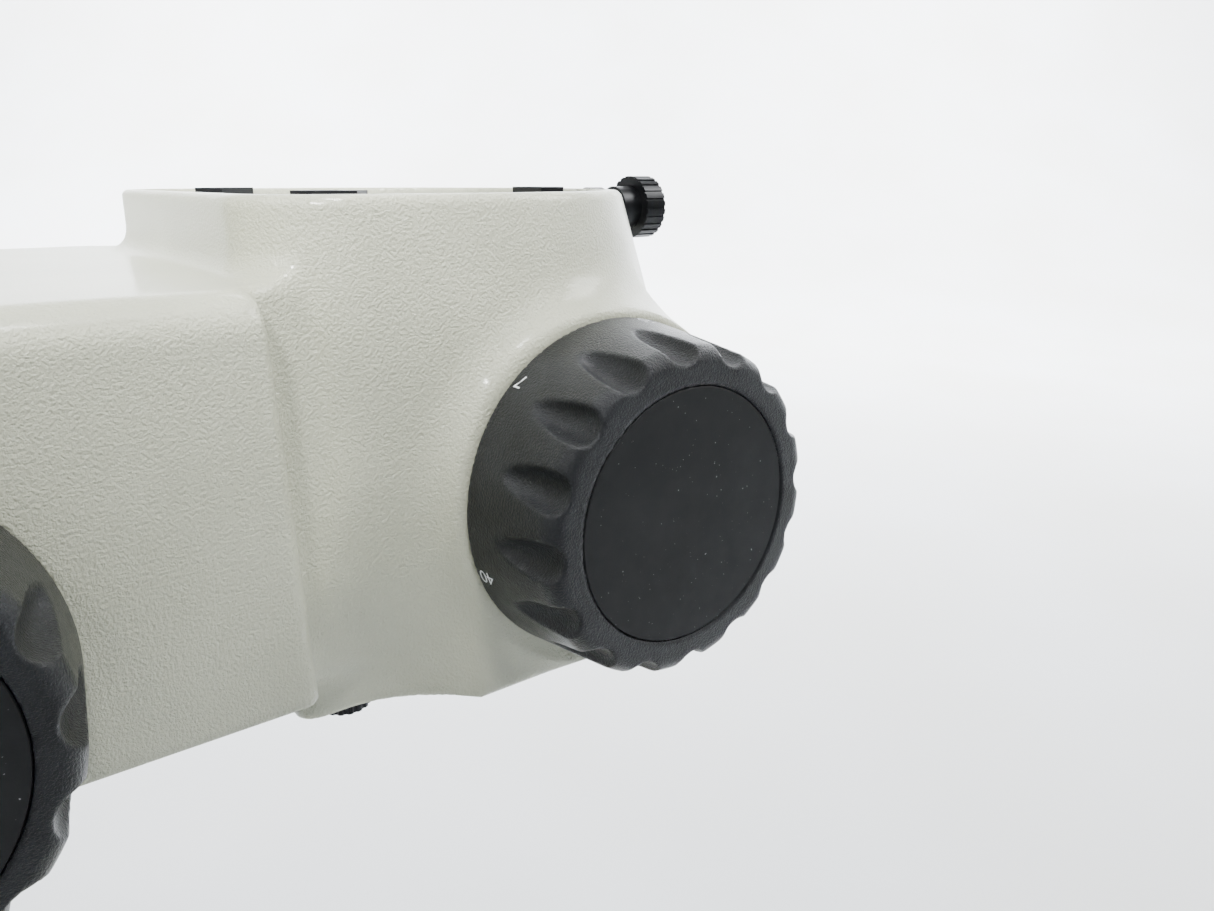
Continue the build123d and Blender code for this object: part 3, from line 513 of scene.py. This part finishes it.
zoomDeep = (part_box("zoom_knob_left")[1][0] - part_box("zoom_knob_left")[0][0]) / mm
focusDeep = (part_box("focus_knob_left")[1][0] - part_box("focus_knob_left")[0][0]) / mm
knobLow, knobHigh = (-33, -33, -1.2), (33, 33, 22.5)   # room that holds either knob, in its own axes
zoomField = knobField(knobLook["zoomRadius"], zoomDeep, knobLook["zoomCap"], knobLook["zoomPhase"])
focusField = knobField(knobLook["focusRadius"], focusDeep, knobLook["focusCap"], knobLook["focusPhase"])
zoomMesh = surfaceNet(zoomField, knobLow, knobHigh, knobLook["gridMm"])
focusMesh = surfaceNet(focusField, knobLow, knobHigh, knobLook["gridMm"])
for side, way in (("left", -1), ("right", 1)):
    placeKnob(zoomMesh, "zoom_knob_" + side, "zoom_knobs", way)
    placeKnob(focusMesh, "focus_knob_" + side, "focus_knobs", way)
print("knobs:", len(zoomMesh[0]), "points each")


# figures printed on the zoom skirt, with their places in degrees clockwise from the top
dialLook = {
    "figures": (("7", 317.5), ("10", 10), ("15", 58), ("20", 107), ("25", 156), ("30", 204), ("40", 252)),
    "sizeMm": 3.6, "nearMm": 1.0, "standOff": 0.02,
}


def figureMesh(text):
    curve = bpy.data.curves.new("figure", "FONT")
    curve.body = text
    curve.size = dialLook["sizeMm"] * mm
    curve.align_x = "CENTER"
    curve.align_y = "CENTER"
    sample = bpy.data.objects.new("figure", curve)
    scene.collection.objects.link(sample)
    bpy.context.view_layer.update()
    mesh = bpy.data.meshes.new_from_object(sample)
    bpy.data.objects.remove(sample)
    return mesh


# the figures are bent round the tapered skirt, and are read along the axis
def dial(way, node):
    low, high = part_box(node)
    base = (high.x if way < 0 else low.x) / mm
    points, rings = [], []
    for text, clockwise in dialLook["figures"]:
        mesh = figureMesh(text)
        wide = max(v.co.x for v in mesh.vertices) / mm
        start = len(points)
        for vertex in mesh.vertices:
            out = dialLook["nearMm"] + wide - vertex.co.x / mm
            narrowed = knobLook["taper"] * out / (zoomDeep - 3)
            radius = knobLook["zoomRadius"] - narrowed + dialLook["standOff"]
            angle = math.radians(clockwise) - vertex.co.y / mm / radius
            points.append((base + way * out, zoomY + way * radius * math.sin(angle),
                           zoomZ + radius * math.cos(angle)))
        rings += [[start + i for i in polygon.vertices] for polygon in mesh.polygons]
    mesh = bpy.data.meshes.new("dial")
    mesh.from_pydata([Vector(p) * mm for p in points], [], rings)
    mesh.materials.append(ink)
    piece = bpy.data.objects.new(node + "_figures", mesh)
    scene.collection.objects.link(piece)
    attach(piece, "zoom_knobs")


dial(-1, "zoom_knob_left")
dial(1, "zoom_knob_right")
print("dial figures:", len(dialLook["figures"]), "on each side")


jawLook = {"fixedRise": 0.55, "slidingRise": 0.6, "topMm": 0.3}


# a jaw's own shape, with its flat top raised to show over the enamelled rim
def proudJaw(node, body, riseMm):
    mesh = nodes[node].data.copy()
    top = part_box(node)[1].z
    for vertex in mesh.vertices:
        if vertex.co.z > top - jawLook["topMm"] * mm:
            vertex.co.z += riseMm * mm
    piece = bpy.data.objects.new(node + "_raised", mesh)
    scene.collection.objects.link(piece)
    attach(piece, body)
    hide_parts(node)


proudJaw("fixed_jaws", "arm", jawLook["fixedRise"])
proudJaw("sliding_jaw", "jaw", jawLook["slidingRise"])
print("jaws raised")

# plate that closes the tower from below, with a round window for the objective ring
coverLook = {"gapMm": 0.25, "middleMm": 2.25, "halfThickMm": 1.25, "edgeMm": 0.4, "shortOfBackMm": 8.2,
             "windowMm": 30.1, "gridMm": 0.8}


def coverField(x, y, z):
    look = coverLook
    inside = towerOutline(x, y, z) + castingLook["wall"] + look["gapMm"]
    plate = roundMax(inside, np.abs(z - towerLow - look["middleMm"]) - look["halfThickMm"], look["edgeMm"])
    plate = np.maximum(plate, y - towerBack + look["shortOfBackMm"])
    return np.maximum(plate, look["windowMm"] - np.hypot(x, y - opticY))


low, high = (Vector(corner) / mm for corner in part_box("tower_cover"))
points, faces = surfaceNet(coverField, low - margin, high + margin, coverLook["gridMm"])
cover = meshPiece("tower_cover_plate", points, faces, blackOxide, "arm")
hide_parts("tower_cover")
print("cover done")


# white paper that runs flat over the bench and sweeps up behind it, in metres
benchLook = {
    "floor": "#eef2f7", "faded": "#e8eaeb", "away": (0.79, -0.61, 0.0), "near": -3.0, "flatTo": 1.6,
    "sweepRadius": 1.5, "sweepSteps": 24, "top": 5.0, "halfWidth": 5,
    "room": "#8d9197", "ceiling": "#e2e8ee", "roomStrength": 0.24,
}
floorMesh = bpy.data.meshes.new("bench")
away = Vector(benchLook["away"]).normalized()
aside = Vector((0, 0, 1)).cross(away)
profile = [(benchLook["near"], 0.0), (benchLook["flatTo"], 0.0)]
for step in range(1, benchLook["sweepSteps"] + 1):
    turn = math.radians(90 * step / benchLook["sweepSteps"])
    profile.append((benchLook["flatTo"] + benchLook["sweepRadius"] * math.sin(turn),
                    benchLook["sweepRadius"] * (1 - math.cos(turn))))
profile.append((profile[-1][0], benchLook["top"]))
edges = (-benchLook["halfWidth"], benchLook["halfWidth"])
corners = [away * out + aside * side + Vector((0, 0, up)) for out, up in profile for side in edges]
strips = [(2 * i, 2 * i + 1, 2 * i + 3, 2 * i + 2) for i in range(len(profile) - 1)]
floorMesh.from_pydata(corners, [], strips)
floorMesh.polygons.foreach_set("use_smooth", [True] * len(floorMesh.polygons))
floor = bpy.data.objects.new("bench", floorMesh)
scene.collection.objects.link(floor)
# matt studio paper: even and pale, with a faint tooth
paper, tree, shader, place = newMaterial("benchPaper", Roughness=0.9, Specular_IOR_Level=0.2)
cloud = addNode(tree, "ShaderNodeTexNoise", {"Vector": place, "Scale": scaleFor(300), "Detail": 2})
addNode(tree, "ShaderNodeValToRGB", {"Fac": cloud.outputs["Fac"]}, {"Color": shader.inputs["Base Color"]},
        stops=((0.3, hexColour(benchLook["faded"])), (0.7, hexColour(benchLook["floor"]))))
tooth = addNode(tree, "ShaderNodeTexNoise", {"Vector": place, "Scale": scaleFor(1.5), "Detail": 3})
addNode(tree, "ShaderNodeBump", {"Height": tooth.outputs["Fac"], "Distance": 0.05 * mm, "Strength": 0.2},
        {"Normal": shader.inputs["Normal"]})
floorMesh.materials.append(paper)
print("bench laid")

world = bpy.data.worlds.new("studio")
world.use_nodes = True
scene.world = world
# dim room, grey at eye level and paler towards the ceiling
room = world.node_tree
background = room.nodes["Background"]
background.inputs["Strength"].default_value = benchLook["roomStrength"]
ray = addNode(room, "ShaderNodeTexCoord").outputs["Generated"]
height = addNode(room, "ShaderNodeSeparateXYZ", {"Vector": ray}).outputs["Z"]
addNode(room, "ShaderNodeValToRGB", {"Fac": height}, {"Color": background.inputs["Color"]},
        stops=((0.0, hexColour(benchLook["room"])), (0.8, hexColour(benchLook["ceiling"]))))

lamps = (
    # name, kind, place, aim, power, and the settings of that kind, in metres, watts and degrees
    ("keySpot", "SPOT", (-0.20, 0.02, 0.72), (-0.055, -0.01, 0.375), 11.0,
     {"spot_size": math.radians(27), "spot_blend": 1.0, "shadow_soft_size": 0.045}),
    ("leftSpot", "SPOT", (-0.45, 0.30, 0.75), (-0.055, 0.03, 0.425), 66.0,
     {"spot_size": math.radians(18), "spot_blend": 1.0, "shadow_soft_size": 0.05}),
    ("topPanel", "AREA", (-0.10, -0.15, 1.25), (0.0, -0.1, 0.3), 1.5, {"size": 0.5}),
    ("backPanel", "AREA", (-0.10, 0.55, 0.72), (-0.05, 0.0, 0.34), 2.7, {"size": 0.3}),
    ("frontPanel", "AREA", (-0.20, -0.50, 0.70), (-0.05, -0.05, 0.34), 3.6, {"size": 0.25}),
    ("floorSpot", "SPOT", (0.95, -0.80, 1.80), (0.85, -0.72, 0.0), 215.0,
     {"spot_size": math.radians(84), "spot_blend": 0.75, "shadow_soft_size": 0.3}),
    ("sweepLeft", "AREA", (1.75, -0.10, 1.90), (2.80, -0.20, 0.75), 270.0, {"size": 1.0}),
    ("sweepRight", "AREA", (0.55, -1.75, 1.90), (0.88, -2.85, 0.75), 240.0, {"size": 1.0}),
)
for name, kind, spot, aim, power, settings in lamps:
    light = bpy.data.lights.new(name, kind)
    light.energy = power
    for key, value in settings.items():
        setattr(light, key, value)
    lamp = bpy.data.objects.new(name, light)
    lamp.location = spot
    lamp.rotation_mode = "QUATERNION"
    lamp.rotation_quaternion = (Vector(aim) - Vector(spot)).to_track_quat("-Z", "Y")
    scene.collection.objects.link(lamp)
print("lamps:", len(lamps))

# behind the arm's left side, above the knobs, looking forward and down along the zoom knob's cap
cameraLook = {"lens": 27.04, "yaw": 37.75, "pitch": 16.9, "fromCapMm": (-103.8, 98.0, 53.8), "capX": -78.5}
camera = bpy.data.objects.new("camera", bpy.data.cameras.new("camera"))
camera.data.sensor_width = 36
camera.data.lens = cameraLook["lens"]
camera.data.clip_start = 0.005
cap = Vector((cameraLook["capX"], zoomY, zoomZ))
camera.location = (cap + Vector(cameraLook["fromCapMm"])) * mm
yaw, pitch = math.radians(cameraLook["yaw"]), math.radians(cameraLook["pitch"])
ahead = Vector((math.cos(yaw) * math.cos(pitch), -math.sin(yaw) * math.cos(pitch), -math.sin(pitch)))
camera.rotation_mode = "QUATERNION"
camera.rotation_quaternion = ahead.to_track_quat("-Z", "Y")
scene.collection.objects.link(camera)
scene.camera = camera
